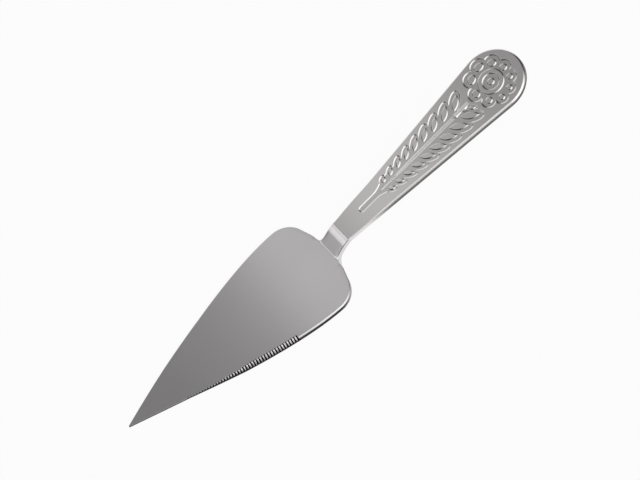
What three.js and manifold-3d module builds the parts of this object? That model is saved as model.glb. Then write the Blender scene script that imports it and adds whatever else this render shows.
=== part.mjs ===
// Cake lifter: a pressed steel blade with a cranked neck, butt welded to a flat stamped handle.
// Millimetres. +X points to the blade's tip, +Z is up, and the blade lies flat on Z = 0.
import * as THREE from 'three';
import { mergeVertices } from 'three/addons/utils/BufferGeometryUtils.js';
import Module from 'manifold-3d';

const wasm = await Module();
wasm.setup();

const degrees = THREE.MathUtils.degToRad;

// Sheet that both blanks are cut from, with bevelled edges above and eased ones below
const stockThickness = 2.9;
const bladeBevel = 0.85;
const handleBevel = 0.8;
const neckBevel = 0.2;
const bevelStart = 9; // from the weld, where the neck's bevel begins to widen
const bevelEnd = 28;
const underBevel = 0.6;
const edgeShare = 0.4; // most of the thickness that a bevel may take
const insetShare = 0.75; // most of the way to the axis that an edge may take
const footShare = 1.2; // least width of the ground foot for the eased edge below

// Blade, from the start of the lower bend to its tip
const bladeLength = 123.6;
const bladeWidth = 55.6;
const tipHalfAngle = degrees(19);
const noseRadius = 0.8;
const shoulderRadius = 12;
const rearRake = degrees(17);
const rearSetback = 1.8; // how far up the lower bend the rear edges meet the neck
const rootFillet = 5;

// The edges are ground thin from below, measured back from the tip
const thinRear = 45;
const thinFront = 20;
const thinLift = 1.35;
const thinAngle = degrees(15);

// Serration ground into the +Y edge, measured back from the tip
const serrationFront = 14;
const serrationRear = 86;
const toothPitch = 1.45;
const toothLand = 0.45;
const toothBevel = 0.15;
const toothFade = 1; // run of the bevel into the teeth
const gulletDepthFront = 0.5;
const gulletDepthRear = 1.7;
const gulletFlat = 0.45; // bottom of a gullet for its mouth

// Neck, bend radii on the underside
const neckWidth = 12.4;
const neckSlope = degrees(19);
const crankRise = 5.75;
const crankAngle = degrees(33);
const lowerBendRadius = 4.1;
const upperBendRadius = 11;

// Handle, from the weld to the end of its round
const handleLength = 115.6;
const handleEndRadius = 16.4;
const handleSlope = degrees(8);

// Double V butt weld between neck and handle
const weldLand = 1; // straight stock on each side of the joint
const weldRootFace = 0.7;
const weldHalfAngle = degrees(35);
const weldGap = 0.05;

// Stamped ornament: ground sunk below the handle's face, with sloped walls and raised forms
const reliefDepth = 0.4;
const reliefWall = 0.55;
const formWall = 0.65;
const formShare = 0.6; // most of a form's half width that its sloped side may take

// Rosette in the round end
const petalCount = 9;
const firstPetal = degrees(-11);
const petalCrowding = degrees(9); // the petals stand closer together towards petalLean
const petalLean = degrees(125);
const petalRadius = 3.8;
const petalMargin = 2.3; // from the petals to the handle's edge
const petalFlattening = 1.4; // how much shorter the ring of petals is than wide
const rosetteSetback = 0.7; // from the middle of the round end towards the weld
const seedLength = 3.8;
const seedWidth = 4.2;
const discRadius = 6.7;
const dishRadius = 4.4;
const eyeRadius = 1.9;

// Fern along the handle: stalk, double rib and leaf pairs
const fernOffset = -0.45; // of the stem from the handle's axis
const stalkStart = 12.7;
const stalkHalfWidth = 1.45;
const flareStart = 22.5;
const flareEnd = 30.5;
const flareHalfWidth = 4.2;
const crestHalfWidth = 7;
const stemStart = 26.5;
const stemSpread = 20; // length over which the two ribs part
const stemGap = 14; // from the stem's end to the rosette's middle
const stemHalfWidth = 1;
const ribSpacing = 1.15;
const ribHalfWidth = 0.45;
const ribHeight = 0.2;
const ribCrest = 0.1; // half width of a rib's top
const leafPairs = 9;
const firstRoot = 29.5;
const lastRootGap = 8.1; // from the last leaves' roots to the stem's end
const spacingGrowth = 0.36; // how much further each pair stands from the one before
const rootOffset = 2;
const leafAngle = degrees(41);
const firstLeaf = 4.2;
const lastLeaf = 10.2;
const leafWidth = 0.38; // for the leaf's length
const leastLeafWidth = 2.4;
const firstHollow = 0.5; // how far the sunk ground runs past a leaf's tip
const lastHollow = 2;
const hollowRoot = 1.3; // and before its root
const hollowSide = 0.6; // ground beside a leaf for the ground past its tip
const hollowShift = 0.5;

// Fineness of the facets
const facetLength = 2;
const leastCurveSteps = 5;
const bevelSteps = 4;
const bendSteps = 6;
const ovalSteps = 12;
const leafSteps = 4;
const discSteps = 24;
const overcut = 1; // how far a cutting tool runs past the metal
const reliefMargin = 0.05; // and how far the ornament's sloped sides run past its levels

const bladeSteel = { color: 0xdbd9da, roughness: 0.24, metalness: 1 };
const handleSteel = { color: 0xe2dfdf, roughness: 0.24, metalness: 1 };
const weldSteel = { color: 0xdad7d8, roughness: 0.26, metalness: 1 };

// Angle between neck and handle at the weld
const kink = neckSlope - handleSlope;

function toSolid(geometry) {
  const bare = geometry.clone();
  bare.deleteAttribute('normal');
  bare.deleteAttribute('uv');
  const merged = mergeVertices(bare);
  const mesh = new wasm.Mesh({
    numProp: 3,
    vertProperties: new Float32Array(merged.attributes.position.array),
    triVerts: new Uint32Array(merged.index.array),
  });
  return new wasm.Manifold(mesh);
}

function toGeometry(solid) {
  const mesh = solid.getMesh();
  const geometry = new THREE.BufferGeometry();
  geometry.setAttribute('position', new THREE.BufferAttribute(mesh.vertProperties, 3));
  geometry.setIndex(new THREE.BufferAttribute(mesh.triVerts, 1));
  geometry.computeVertexNormals();
  return geometry;
}

function piece(name, geometry, finish) {
  const mesh = new THREE.Mesh(geometry, new THREE.MeshStandardMaterial(finish));
  mesh.name = name;
  return mesh;
}

// Rounds the corner between two directions of travel with an arc.
function addFillet(path, corner, inward, outward, radius) {
  const turn = Math.atan2(inward.cross(outward), inward.dot(outward));
  const side = Math.sign(turn);
  const start = corner.clone().addScaledVector(inward, -radius * Math.tan(Math.abs(turn) / 2));
  const across = new THREE.Vector2(-inward.y, inward.x).multiplyScalar(side);
  const centre = start.clone().addScaledVector(across, radius);
  const startAngle = Math.atan2(-across.y, -across.x);
  path.absarc(centre.x, centre.y, radius, startAngle, startAngle + turn, side < 0);
}

// Points of a half outline: straight runs keep their ends, curves get facets.
function outlinePoints(path) {
  const points = [path.curves[0].getPoint(0)];
  for (const curve of path.curves) {
    const facets = Math.max(leastCurveSteps, Math.ceil(curve.getLength() / facetLength));
    points.push(...curve.getPoints(curve.isLineCurve ? 1 : facets).slice(1));
  }
  return points;
}

// Splits the outline's runs at the given distances along the axis, so that the plate can bend there.
function splitAt(points, stations) {
  const split = [points[0]];
  for (let i = 1; i < points.length; i += 1) {
    const from = points[i - 1];
    const to = points[i];
    for (const station of stations) {
      if (station > from.x && station < to.x) {
        split.push(from.clone().lerp(to, (station - from.x) / (to.x - from.x)));
      }
    }
    split.push(to);
  }
  return split;
}

// Outward normals of a half outline that starts square to the axis and ends on it.
function outlineNormals(points) {
  const last = points.length - 1;
  return points.map((point, i) => {
    if (i === 0) return new THREE.Vector2(0, 1);
    if (i === last) return new THREE.Vector2(1, 0);
    const before = point.clone().sub(points[i - 1]).normalize();
    const after = points[i + 1].clone().sub(point).normalize();
    const along = before.add(after).normalize();
    return new THREE.Vector2(-along.y, along.x);
  });
}

// Bevel of a top edge at a distance from the weld: narrow at the neck, then full.
function bevelAt(full, s) {
  return THREE.MathUtils.lerp(neckBevel, full, THREE.MathUtils.smoothstep(s, bevelStart, bevelEnd));
}

function bevelStations() {
  const stations = [];
  for (let i = 0; i <= bevelSteps; i += 1) {
    stations.push(THREE.MathUtils.lerp(bevelStart, bevelEnd, i / bevelSteps));
  }
  return stations;
}

// Insets and heights of an edge from the top face to the underside. lift is what is ground away below the
// edge, and reach is how far the axis is.
function edgeLevels(topBevel, lift, reach) {
  const widest = insetShare * reach;
  const deepest = edgeShare * (stockThickness - lift);
  const bevel = Math.min(topBevel, widest, deepest);
  const under = Math.min(underBevel, widest, deepest);
  const thinning = Math.tan(thinAngle);
  const foot = Math.max(footShare * under, Math.min(widest, lift / thinning));
  const groundAt = (inset) => Math.max(lift - inset * thinning, 0);
  return [
    { inset: bevel, height: stockThickness },
    { inset: 0, height: stockThickness - bevel },
    { inset: 0, height: lift + under },
    { inset: under, height: groundAt(under) },
    { inset: foot, height: groundAt(foot) },
  ];
}

// A plate with bevelled edges: a half outline mirrored across the axis, from a mitred end to a point on the
// axis. edgeAt(s, side) gives a side's bevel and lift, and place(s, y, h) puts a point of the flat blank.
function bevelledPlate(half, edgeAt, place) {
  const normals = outlineNormals(half);
  const last = half.length - 1;
  const positions = [];
  const index = [];
  const quad = (a, b, c, d) => index.push(a, b, c, a, c, d);

  const column = (i, side) => {
    const point = half[i];
    const near = Math.min(i, last - 1);
    const { bevel, lift } = edgeAt(point.x, side);
    return edgeLevels(bevel, lift, half[near].y / normals[near].y).map(({ inset, height }) => {
      const s = i === 0 ? -height * Math.tan(kink / 2) : point.x - normals[i].x * inset;
      const y = i === last ? 0 : side * (point.y - normals[i].y * inset);
      positions.push(...place(s, y, height));
      return positions.length / 3 - 1;
    });
  };
  const left = half.map((_, i) => column(i, 1));
  const right = half.map((_, i) => (i === last ? left[i] : column(i, -1)));
  const levels = left[0].length;

  for (let k = 0; k + 1 < levels; k += 1) {
    for (let i = 0; i < last; i += 1) {
      quad(left[i][k], left[i + 1][k], left[i + 1][k + 1], left[i][k + 1]);
      quad(right[i][k], right[i][k + 1], right[i + 1][k + 1], right[i + 1][k]);
    }
    quad(left[0][k], left[0][k + 1], right[0][k + 1], right[0][k]);
  }
  const under = levels - 1;
  for (let i = 0; i + 1 < last; i += 1) {
    quad(right[i][0], right[i + 1][0], left[i + 1][0], left[i][0]);
    quad(right[i][under], left[i][under], left[i + 1][under], right[i + 1][under]);
  }
  index.push(right[last - 1][0], left[last][0], left[last - 1][0]);
  index.push(right[last - 1][under], left[last - 1][under], left[last][under]);

  const geometry = new THREE.BufferGeometry();
  geometry.setAttribute('position', new THREE.Float32BufferAttribute(positions, 3));
  geometry.setIndex(index);
  return geometry;
}

// The underside of the neck as legs from the weld down to the blade. Positive turns are upward.
function crankLegs() {
  const upperTurn = crankAngle - neckSlope;
  const bendsRise = weldLand * Math.sin(neckSlope)
    + upperBendRadius * (Math.cos(neckSlope) - Math.cos(crankAngle))
    + lowerBendRadius * (1 - Math.cos(crankAngle));
  const riserLength = (crankRise - bendsRise) / Math.sin(crankAngle);
  return [
    { length: weldLand, turn: 0 },
    { length: upperBendRadius * upperTurn, turn: -upperTurn },
    { length: riserLength, turn: 0 },
    { length: lowerBendRadius * crankAngle, turn: crankAngle },
  ];
}

const legs = crankLegs();
const crankLength = legs.reduce((sum, leg) => sum + leg.length, 0);

function moveAlong(start, length, turn) {
  const chord = turn === 0 ? length : (2 * length * Math.sin(turn / 2)) / turn;
  const heading = start.angle + turn / 2;
  return {
    x: start.x + chord * Math.cos(heading),
    z: start.z + chord * Math.sin(heading),
    angle: start.angle + turn,
  };
}

// Place and direction of the underside at a distance s along the blank from the weld.
function undersideAt(s) {
  let at = { x: 0, z: crankRise, angle: -neckSlope };
  let left = s;
  for (const leg of legs) {
    const walked = Math.min(left, leg.length);
    at = moveAlong(at, walked, leg.turn * (walked / leg.length));
    left -= walked;
    if (left <= 0) return at;
  }
  return moveAlong(at, left, 0);
}

function crankStations() {
  const stations = [];
  let start = 0;
  for (const leg of legs) {
    const steps = leg.turn === 0 ? 1 : bendSteps;
    for (let i = 1; i <= steps; i += 1) stations.push(start + (leg.length * i) / steps);
    start += leg.length;
  }
  return stations;
}

// Half outline of the blade's blank, from the weld to the tip.
function bladePath() {
  const forward = new THREE.Vector2(1, 0);
  const rearEdge = new THREE.Vector2(Math.sin(rearRake), Math.cos(rearRake));
  const halfWidth = bladeWidth / 2;
  const halfNeck = neckWidth / 2;
  const rearCorner = new THREE.Vector2(crankLength - rearSetback, halfNeck);
  const shoulder = rearCorner.clone().addScaledVector(rearEdge, (halfWidth - halfNeck) / rearEdge.y);
  const noseX = crankLength + bladeLength - noseRadius;
  const noseStart = new THREE.Vector2(
    noseX + noseRadius * Math.sin(tipHalfAngle),
    noseRadius * Math.cos(tipHalfAngle),
  );
  const sideControl = noseStart.x - (halfWidth - noseStart.y) / Math.tan(tipHalfAngle);

  const path = new THREE.Path();
  path.moveTo(0, halfNeck);
  path.lineTo(weldLand, halfNeck);
  addFillet(path, rearCorner, forward, rearEdge, rootFillet);
  addFillet(path, shoulder, rearEdge, forward, shoulderRadius);
  path.quadraticCurveTo(sideControl, halfWidth, noseStart.x, noseStart.y);
  path.absarc(noseX, 0, noseRadius, Math.PI / 2 - tipHalfAngle, 0, true);
  return path;
}

// Top bevel and thinning of the blade's edges. The bevel narrows along the teeth and on the thinned edges.
function bladeEdge(s, side) {
  const full = bevelAt(bladeBevel, s);
  const fromTip = crankLength + bladeLength - s;
  const thinned = THREE.MathUtils.clamp((thinRear - fromTip) / (thinRear - thinFront), 0, 1);
  const toothed = 1 - THREE.MathUtils.smoothstep(fromTip, serrationRear, serrationRear + toothFade);
  return {
    bevel: THREE.MathUtils.lerp(full, toothBevel, side > 0 ? toothed : thinned),
    lift: thinLift * thinned,
  };
}

function bladeStations() {
  const tip = crankLength + bladeLength;
  const toothStations = [tip - serrationRear - toothFade, tip - serrationRear];
  return [...crankStations(), ...bevelStations(), ...toothStations].sort((a, b) => a - b);
}

function placeOnBlade(s, y, h) {
  const at = undersideAt(s);
  return [at.x - h * Math.sin(at.angle), y, at.z + h * Math.cos(at.angle)];
}

// One gullet, standing upright, with its narrow flat towards -Y and its mouth past the edge.
function gulletCutter(depth) {
  const halfMouth = (toothPitch - toothLand) / 2;
  const halfFlat = gulletFlat * halfMouth;
  const halfFlare = halfMouth + (halfMouth - halfFlat) * (overcut / depth);
  const shape = new THREE.Shape();
  shape.moveTo(-halfFlat, -depth);
  shape.lineTo(halfFlat, -depth);
  shape.lineTo(halfFlare, overcut);
  shape.lineTo(-halfFlare, overcut);
  shape.closePath();
  const height = stockThickness + 2 * overcut;
  return new THREE.ExtrudeGeometry(shape, { depth: height, bevelEnabled: false }).translate(0, 0, -overcut);
}

// Grinds the row of gullets across the +Y edge, square to it and shallower towards the tip.
function serrate(blade, path) {
  const bladeStart = undersideAt(crankLength).x - crankLength;
  const tip = crankLength + bladeLength;
  const side = path.curves.find((curve) => curve.isQuadraticBezierCurve);
  const sideLength = side.getLength();
  let cut = blade;
  for (let along = 0; along < sideLength; along += toothPitch) {
    const share = along / sideLength;
    const point = side.getPointAt(share);
    const fromTip = tip - point.x;
    if (fromTip < serrationFront || fromTip > serrationRear) continue;
    const tangent = side.getTangentAt(share);
    const fade = (fromTip - serrationFront) / (serrationRear - serrationFront);
    const depth = THREE.MathUtils.lerp(gulletDepthFront, gulletDepthRear, fade);
    const cutter = gulletCutter(depth)
      .rotateZ(Math.atan2(tangent.y, tangent.x))
      .translate(bladeStart + point.x, point.y, 0);
    cut = cut.subtract(toSolid(cutter));
  }
  return cut;
}

// Half outline of the handle's blank, from the weld to its round end: a straight taper that runs tangent
// into the round.
function handlePath() {
  const start = new THREE.Vector2(weldLand, neckWidth / 2);
  const centre = new THREE.Vector2(handleLength - handleEndRadius, 0);
  const back = start.clone().sub(centre);
  const tangentAngle = Math.atan2(back.y, back.x) - Math.acos(handleEndRadius / back.length());
  const path = new THREE.Path();
  path.moveTo(0, start.y);
  path.lineTo(start.x, start.y);
  path.absarc(centre.x, centre.y, handleEndRadius, tangentAngle, 0, true);
  return path;
}

// The handle runs towards -X in its own frame, so its blank is turned half round about Z.
function placeOnHandle(s, y, h) {
  return [-s, -y, h];
}

function handleEdge(s) {
  return { bevel: bevelAt(handleBevel, s), lift: 0 };
}

// Ground level of the ornament
const groundLevel = stockThickness - reliefDepth;

// A form with sloped sides: the outline moves by one offset at a low level and by another at a high one.
function slopedForm(shape, steps, low, high) {
  const widens = high.offset > low.offset;
  const narrow = widens ? low.offset : high.offset;
  const wide = widens ? high.offset : low.offset;
  const form = new THREE.ExtrudeGeometry(shape, {
    depth: overcut,
    curveSegments: steps,
    bevelSegments: 1,
    bevelThickness: high.level - low.level,
    bevelSize: wide - narrow,
    bevelOffset: narrow,
  });
  return toSolid(form.translate(0, 0, widens ? high.level : low.level - overcut));
}

// What the die sinks: ground whose wall stands half inside and half outside the outline.
function sunkForm(shape, steps) {
  const run = reliefWall / reliefDepth;
  const low = { level: groundLevel, offset: -reliefWall / 2 };
  const high = { level: stockThickness + reliefMargin, offset: reliefWall / 2 + run * reliefMargin };
  return slopedForm(shape, steps, low, high);
}

// What the die leaves standing on the ground, with its foot on the outline.
function raisedForm(shape, steps, run, top) {
  const low = { level: groundLevel - reliefMargin, offset: run * reliefMargin };
  const high = { level: top, offset: -run * (top - groundLevel) };
  return slopedForm(shape, steps, low, high);
}

function raisedToFace(shape, steps, wall) {
  return raisedForm(shape, steps, wall / reliefDepth, stockThickness + reliefMargin);
}

function oval(x, y, halfLength, halfWidth, turn) {
  return new THREE.Shape().absellipse(x, y, halfLength, halfWidth, 0, 2 * Math.PI, false, turn);
}

function union(solids) {
  return solids.reduce((joined, solid) => joined.add(solid));
}

const rosetteCentre = handleLength - handleEndRadius - rosetteSetback;
const stemEnd = rosetteCentre - stemGap;

// Roots, lengths and hollows of the leaves on one side of the stem, which grow along the handle.
function fernLeaves() {
  const gaps = leafPairs - 1;
  const span = stemEnd - lastRootGap - firstRoot;
  const spacing = span / gaps - (spacingGrowth * (gaps - 1)) / 2;
  const leaves = [];
  for (let pair = 0; pair < leafPairs; pair += 1) {
    const growth = Math.sin(((Math.PI / 2) * pair) / gaps);
    const size = THREE.MathUtils.lerp(firstLeaf, lastLeaf, growth);
    leaves.push({
      root: firstRoot + pair * spacing + (spacingGrowth * pair * (pair - 1)) / 2,
      size,
      halfWidth: Math.max(leastLeafWidth, leafWidth * size) / 2,
      hollow: THREE.MathUtils.lerp(firstHollow, lastHollow, growth),
    });
  }
  return leaves;
}

// A point of the fern on one side of its stem, in the handle's frame.
function fernPoint(s, beside, side) {
  return new THREE.Vector2(-s, fernOffset + side * beside);
}

// A point along and across a leaf from its root.
function leafPoint(leaf, along, across, side) {
  const s = leaf.root + along * Math.cos(leafAngle) - across * Math.sin(leafAngle);
  const beside = rootOffset + along * Math.sin(leafAngle) + across * Math.cos(leafAngle);
  return fernPoint(s, beside, side);
}

// A pointed leaf of two bowed sides.
function leafShape(leaf, side) {
  const root = leafPoint(leaf, 0, 0, side);
  const tip = leafPoint(leaf, leaf.size, 0, side);
  const bow = 2 * leaf.halfWidth;
  const outer = leafPoint(leaf, leaf.size / 2, bow, side);
  const inner = leafPoint(leaf, leaf.size / 2, -bow, side);
  const shape = new THREE.Shape();
  shape.moveTo(root.x, root.y);
  shape.quadraticCurveTo(outer.x, outer.y, tip.x, tip.y);
  shape.quadraticCurveTo(inner.x, inner.y, root.x, root.y);
  return shape;
}

// The oval of sunk ground that a leaf lies in.
function hollowShape(leaf, side) {
  const halfLength = (leaf.size + hollowRoot + leaf.hollow) / 2;
  const middle = leafPoint(leaf, halfLength - hollowRoot, hollowShift, side);
  const halfWidth = leaf.halfWidth + hollowSide * leaf.hollow;
  return oval(middle.x, middle.y, halfLength, halfWidth, -side * leafAngle);
}

// Sunk ground along the stem: a round foot, the stalk, its flare, the ground among the leaves and the stem's
// end.
function stemShape(leaves) {
  const lastLeafRoot = leaves[leaves.length - 1].root;
  const alongLast = (beside) => lastLeafRoot + (beside - rootOffset) / Math.tan(leafAngle);
  const flareMiddle = (flareStart + flareEnd) / 2;
  const edge = (side) => [
    fernPoint(flareStart, stalkHalfWidth, side),
    fernPoint(flareMiddle, stalkHalfWidth, side),
    fernPoint(flareEnd, flareHalfWidth, side),
    fernPoint(alongLast(crestHalfWidth), crestHalfWidth, side),
    fernPoint(alongLast(stemHalfWidth), stemHalfWidth, side),
    fernPoint(stemEnd, stemHalfWidth, side),
  ];
  const there = edge(1);
  const back = edge(-1);
  const shape = new THREE.Shape();
  shape.absarc(-stalkStart - stalkHalfWidth, fernOffset, stalkHalfWidth, -Math.PI / 2, Math.PI / 2);
  shape.lineTo(there[0].x, there[0].y);
  shape.quadraticCurveTo(there[1].x, there[1].y, there[2].x, there[2].y);
  for (const point of there.slice(3)) shape.lineTo(point.x, point.y);
  for (const point of back.slice(2).reverse()) shape.lineTo(point.x, point.y);
  shape.quadraticCurveTo(back[1].x, back[1].y, back[0].x, back[0].y);
  shape.closePath();
  return shape;
}

// One of the two ribs, which start at one point and part.
function ribShape(side) {
  const far = ribSpacing / 2;
  const corners = [
    fernPoint(stemStart, -ribHalfWidth, side),
    fernPoint(stemStart + stemSpread, far - ribHalfWidth, side),
    fernPoint(stemEnd - reliefWall, far - ribHalfWidth, side),
    fernPoint(stemEnd - reliefWall, far + ribHalfWidth, side),
    fernPoint(stemStart + stemSpread, far + ribHalfWidth, side),
    fernPoint(stemStart, ribHalfWidth, side),
  ];
  return new THREE.Shape(corners);
}

function fernCutter() {
  const leaves = fernLeaves();
  const sunk = [sunkForm(stemShape(leaves), leafSteps)];
  const raised = [];
  for (const side of [1, -1]) {
    for (const leaf of leaves) {
      const wall = Math.min(formWall, formShare * leaf.halfWidth);
      sunk.push(sunkForm(hollowShape(leaf, side), ovalSteps));
      raised.push(raisedToFace(leafShape(leaf, side), leafSteps, wall));
    }
    const ribRun = (ribHalfWidth - ribCrest) / ribHeight;
    raised.push(raisedForm(ribShape(side), leafSteps, ribRun, groundLevel + ribHeight));
  }
  return union(sunk).subtract(union(raised));
}

// A ring of petals with a seed in each, round a disc with a dish and an eye in its middle.
function rosetteCutter() {
  const spread = handleEndRadius - petalMargin - petalRadius;
  const reach = spread - petalFlattening;
  const round = (radius) => oval(-rosetteCentre, 0, radius, radius, 0);
  const seedWall = Math.min(formWall, (formShare * Math.min(seedLength, seedWidth)) / 2);
  const sunk = [sunkForm(oval(-rosetteCentre, 0, reach, spread, 0), discSteps)];
  const raised = [raisedToFace(round(discRadius), discSteps, reliefWall)];
  for (let petal = 0; petal < petalCount; petal += 1) {
    const even = firstPetal + (petal * 2 * Math.PI) / petalCount;
    const turn = even - petalCrowding * Math.cos(even - petalLean);
    const x = -rosetteCentre - reach * Math.cos(turn);
    const y = spread * Math.sin(turn);
    const heading = Math.atan2(y, x + rosetteCentre);
    sunk.push(sunkForm(oval(x, y, petalRadius, petalRadius, heading), ovalSteps));
    raised.push(raisedToFace(oval(x, y, seedLength / 2, seedWidth / 2, heading), ovalSteps, seedWall));
  }
  const dish = sunkForm(round(dishRadius - reliefWall / 2), discSteps);
  const eye = raisedToFace(round(eyeRadius), ovalSteps, Math.min(reliefWall, formShare * eyeRadius));
  return union(sunk).subtract(union(raised)).add(dish.subtract(eye));
}

// A triangular prism across the neck at the mitre, widening from its point to past the faces of the plates.
function weldPrism(clearance, upward) {
  const middle = stockThickness / 2;
  const way = upward ? 1 : -1;
  const point = weldRootFace / 2 - clearance / Math.sin(weldHalfAngle);
  const mouth = middle + overcut;
  const halfMouth = (mouth - point) * Math.tan(weldHalfAngle);
  const shape = new THREE.Shape();
  shape.moveTo(0, middle + way * point);
  shape.lineTo(halfMouth, middle + way * mouth);
  shape.lineTo(-halfMouth, middle + way * mouth);
  shape.closePath();
  const width = neckWidth + 2 * overcut;
  const prism = new THREE.ExtrudeGeometry(shape, { depth: width, bevelEnabled: false });
  return prism.rotateX(Math.PI / 2).translate(0, width / 2, 0).rotateY(kink / 2);
}

// A bar with the section that neck and handle share at the weld, which runs on past both sides of the joint.
function weldBar() {
  const half = neckWidth / 2;
  const right = [
    new THREE.Vector2(half - underBevel, 0),
    new THREE.Vector2(half, underBevel),
    new THREE.Vector2(half, stockThickness - neckBevel),
    new THREE.Vector2(half - neckBevel, stockThickness),
  ];
  const left = right.map((point) => new THREE.Vector2(-point.x, point.y)).reverse();
  const reach = 2 * weldLand;
  const bar = new THREE.ExtrudeGeometry(new THREE.Shape([...right, ...left]), {
    depth: 2 * reach,
    bevelEnabled: false,
  });
  return bar.rotateX(Math.PI / 2).rotateZ(Math.PI / 2).translate(-reach, 0, 0);
}

const handleGroup = new THREE.Group();
handleGroup.position.z = crankRise;
handleGroup.rotation.y = handleSlope;
handleGroup.updateMatrix();

function makeBlade() {
  const path = bladePath();
  const half = splitAt(outlinePoints(path), bladeStations());
  let blade = serrate(toSolid(bevelledPlate(half, bladeEdge, placeOnBlade)), path);
  for (const upward of [true, false]) {
    blade = blade.subtract(toSolid(weldPrism(weldGap, upward).applyMatrix4(handleGroup.matrix)));
  }
  return toGeometry(blade);
}

function makeHandle() {
  const half = splitAt(outlinePoints(handlePath()), bevelStations());
  let handle = toSolid(bevelledPlate(half, handleEdge, placeOnHandle));
  for (const upward of [true, false]) {
    handle = handle.subtract(toSolid(weldPrism(weldGap, upward)));
  }
  return toGeometry(handle.subtract(fernCutter().add(rosetteCutter())));
}

// A weld run is ground flush with neck and handle: below both of their faces on top, and down to the lower of
// the two underneath, where they meet in a hollow.
function makeWeld(upward) {
  const onHandle = toSolid(weldBar());
  const onNeck = toSolid(weldBar().rotateY(kink));
  const flush = upward ? onHandle.intersect(onNeck) : onHandle.add(onNeck);
  return toGeometry(toSolid(weldPrism(0, upward)).intersect(flush));
}

handleGroup.add(
  piece('handle', makeHandle(), handleSteel),
  piece('weld_top', makeWeld(true), weldSteel),
  piece('weld_under', makeWeld(false), weldSteel),
);

const lifter = new THREE.Group();
lifter.name = 'cake_lifter';
lifter.add(piece('blade', makeBlade(), bladeSteel), handleGroup);

// The origin is under the middle of the lifter's length.
const reach = new THREE.Box3().setFromObject(lifter, true);
lifter.position.x = -(reach.min.x + reach.max.x) / 2;

export default lifter;
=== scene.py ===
"""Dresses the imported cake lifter: polished blade, stamped handle, weld runs and a pale studio."""

import math

import bpy
import numpy as np
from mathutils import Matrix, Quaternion, Vector


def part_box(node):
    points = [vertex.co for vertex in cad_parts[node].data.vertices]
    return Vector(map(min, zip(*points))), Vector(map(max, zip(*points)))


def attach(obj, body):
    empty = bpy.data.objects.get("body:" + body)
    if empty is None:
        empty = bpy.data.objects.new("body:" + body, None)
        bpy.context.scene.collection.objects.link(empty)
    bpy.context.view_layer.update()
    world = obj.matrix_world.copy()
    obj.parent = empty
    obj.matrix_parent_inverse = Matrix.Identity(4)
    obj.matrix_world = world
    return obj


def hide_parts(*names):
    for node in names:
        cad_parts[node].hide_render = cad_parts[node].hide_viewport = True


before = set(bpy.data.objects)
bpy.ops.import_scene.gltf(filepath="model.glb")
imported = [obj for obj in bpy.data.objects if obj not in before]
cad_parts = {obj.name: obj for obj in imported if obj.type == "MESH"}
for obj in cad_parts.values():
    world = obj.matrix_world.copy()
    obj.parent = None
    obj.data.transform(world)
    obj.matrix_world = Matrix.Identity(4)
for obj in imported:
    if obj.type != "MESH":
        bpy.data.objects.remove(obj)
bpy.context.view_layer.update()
BLADE_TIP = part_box("blade")[1].x

bl_info = {
    "name": "Cake Lifter",
    "version": (1, 0, 0),
    "blender": (4, 5, 0),
    "location": "View3D > Sidebar > Lifter",
    "description": "Builds a serrated steel cake lifter with a stamped handle, and its studio",
    "category": "Add Mesh",
}

MM = 0.001
BODY = "root"

# Mesh fineness
CORNER_STEPS = 4
LEAST_ARC_STEPS = 8
FINE_STEP = 0.2 * MM
STEPS_PER_TOOTH = 12
BLADE_COLUMNS = 12
HANDLE_COLUMNS = 124
WELD_ROWS = 60
WELD_COLUMNS = 8
SHARP_ANGLE = math.radians(50)
TINY = 1e-9

# Bevel of the top edges: its slope, and the rounding of its corners for its width
BEVEL_SLOPE = math.radians(45)
CORNER_SHARE = 0.5

# Where the inner rows of a top face begin: past the deepest gullet, or at this share of the bevel
RIM_LEAST = 0.3 * MM
RIM_SHARE = 1.5

# Most that an edge reaches in for the way to the axis, and least of its foot for the rounding below
MOST_INSET = 0.75
FOOT_SHARE = 1.2

# Middle height of the weld's ripples for its crown
RIPPLE_MIDDLE = 0.6

# Names of the surface values that the meshes carry for the steel's nodes: the sunk ground's depth, and
# the painted shade of the edges and gullets
RECESS = "recess"
EDGE_SHADE = "cut_edge"

# Where the painted shade of the sheared edge comes in, for the bevel's depth, and goes out, for the
# rounding below
SHADE_IN = (0.9, 1.15)
SHADE_OUT = (0.0, 0.6)

# Polishing lines and wiping marks: waves in a metre along X, Y and Z, detail, and middle of the noise
LINE_WAVES = (90.0, 5200.0, 5200.0)
LINE_DETAIL = 3.0
CLOUD_WAVES = (34.0, 46.0, 46.0)
CLOUD_DETAIL = 4.0
NOISE_MIDDLE = 0.5

# How much of the darker colour the wiping marks take on, and how much the sunk ground takes on as
# painted shade
CLOUD_TONE = 0.1
RECESS_SHADE = 0.8

# Bump of the polishing lines
LINE_BUMP = 0.06
LINE_DEPTH = 0.02 * MM

# Places of a Mix node's colour sockets, which share their names with others
MIX_FACTOR = 0
MIX_FIRST = 6
MIX_SECOND = 7
MIX_COLOUR = 2

WHITE = (1.0, 1.0, 1.0, 1.0)


def length(name, millimetres, description):
    """A length property whose default is given in millimetres."""
    return bpy.props.FloatProperty(
        name=name, description=description, default=millimetres * MM,
        precision=5, unit="LENGTH", subtype="DISTANCE")


def angle(name, degrees, description):
    """An angle property whose default is given in degrees."""
    return bpy.props.FloatProperty(
        name=name, description=description, default=math.radians(degrees),
        unit="ROTATION", subtype="ANGLE")


def share(name, value, description):
    """A property from 0 to 1."""
    return bpy.props.FloatProperty(
        name=name, description=description, default=value, min=0.0, max=1.0, subtype="FACTOR")


def camera_length(name, millimetres, description):
    """A length of the camera, which is kept in millimetres."""
    return bpy.props.FloatProperty(
        name=name, description=description, default=millimetres,
        unit="CAMERA", subtype="DISTANCE_CAMERA")


def count(name, value, description):
    """A whole number property."""
    return bpy.props.IntProperty(name=name, description=description, default=value, min=1)


def colour(name, value, description):
    """A linear colour property."""
    return bpy.props.FloatVectorProperty(
        name=name, description=description, default=value, min=0.0, max=1.0,
        size=3, subtype="COLOR")


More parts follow.
